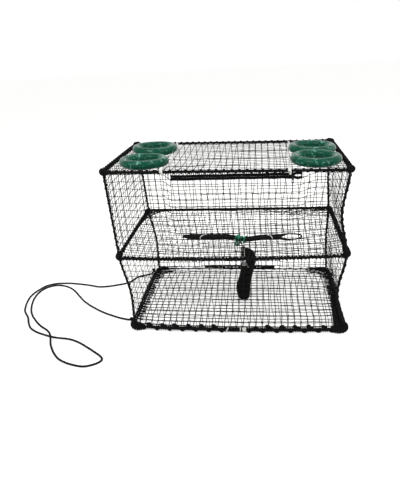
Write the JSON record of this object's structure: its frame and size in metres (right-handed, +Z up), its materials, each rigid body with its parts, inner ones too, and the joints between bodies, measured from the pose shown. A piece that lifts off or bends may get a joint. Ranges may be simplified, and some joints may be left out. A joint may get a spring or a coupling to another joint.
{
  "type": "collapsible fish trap",
  "caption": "Collapsible two-chamber fish pot: rod frames joined by netting and corner ropes, with a slit passage, bait bag, ring floats, zipper and bridle rope.",
  "frame": {"origin": "centre of the pot's footprint on the ground, without the bridle rope", "axes": "+X along the front bars to the right, +Y from the front to the back, +Z up"},
  "size_m": [1.3403, 0.7665, 0.639],
  "materials": {
    "black_rope": "matte braided rope",
    "black_net": "matte knotted twine",
    "black_tape": "woven tape",
    "white_cord": "matte cord",
    "green_twine": "twisted twine",
    "green_plastic": "glossy translucent",
    "bag_mesh": "fine mesh",
    "white_plastic": "satin",
    "zip_metal": "satin black"
  },
  "bodies": {
    "base": {"bottom_frame": "black_rope", "bottom_joint_binding": "black_rope", "binding_tie_left": "white_cord", "binding_tie_middle": "white_cord", "binding_tie_right": "white_cord", "floor_net": "black_net", "entrance_lip_lower": "black_rope", "entrance_lip_upper": "black_rope", "lower_net_front": "black_net", "lower_net_back": "black_net", "lower_net_left": "black_net", "lower_net_right": "black_net", "lower_rope_front_left": "black_rope", "lower_rope_front_right": "black_rope", "lower_rope_back_left": "black_rope", "lower_rope_back_right": "black_rope", "bridle_rope": "black_rope", "bridle_knot_back": "black_rope", "bridle_knot_front": "black_rope"},
    "middle": {"middle_frame": "black_rope", "middle_net": "black_net", "passage_cord": "black_rope", "passage_tie_left": "white_cord", "passage_tie_right": "white_cord", "upper_net_front": "black_net", "upper_net_back": "black_net", "upper_net_left": "black_net", "upper_net_right": "black_net", "upper_rope_front_left": "black_rope", "upper_rope_front_right": "black_rope", "upper_rope_back_left": "black_rope", "upper_rope_back_right": "black_rope"},
    "top": {"top_frame": "black_rope", "top_net": "black_net", "float_back_left": "green_plastic", "float_front_left": "green_plastic", "float_back_right": "green_plastic", "float_front_right": "green_plastic", "float_cord_left": "white_cord", "float_cord_right": "white_cord", "zip_tape_upper": "black_tape", "zip_tape_lower": "black_tape", "zip_teeth_upper": "zip_metal", "zip_teeth_lower": "zip_metal"},
    "bait": {"bait_twine": "green_twine", "bait_bag": "bag_mesh", "bag_drawcord": "white_cord"},
    "lock": {"cord_lock": "white_plastic"},
    "slider": {"zip_slider": "zip_metal"},
    "pull": {"zip_pull": "zip_metal"}
  },
  "joints": [
    {"name": "middle_collapse", "type": "slide", "parent": "base", "child": "middle", "axis": [0, 0, -1], "range_m": [0, 0.22], "deforming": ["lower_net_front", "lower_net_back", "lower_net_left", "lower_net_right", "lower_rope_front_left", "lower_rope_front_right", "lower_rope_back_left", "lower_rope_back_right", "bait_bag", "bag_drawcord", "cord_lock"]},
    {"name": "top_collapse", "type": "slide", "parent": "middle", "child": "top", "axis": [0, 0, -1], "range_m": [0, 0.25], "deforming": ["upper_net_front", "upper_net_back", "upper_net_left", "upper_net_right", "upper_rope_front_left", "upper_rope_front_right", "upper_rope_back_left", "upper_rope_back_right"]},
    {"name": "bait_swing", "type": "hinge", "parent": "middle", "child": "bait", "pos_m": [0.02, -0.01256, 0.28556], "axis": [1, 0, 0], "range_deg": [-20, 20]},
    {"name": "lock_slide", "type": "slide", "parent": "bait", "child": "lock", "axis": [0, 0, 1], "range_m": [-0.01, 0.004]},
    {"name": "zip_slide", "type": "slide", "parent": "top", "child": "slider", "axis": [-1, 0, 0], "range_m": [0, 0.37]},
    {"name": "pull_hinge", "type": "hinge", "parent": "slider", "child": "pull", "pos_m": [0.203, -0.2647, 0.5943], "axis": [-1, 0, 0], "range_deg": [0, 100]}
  ]
}
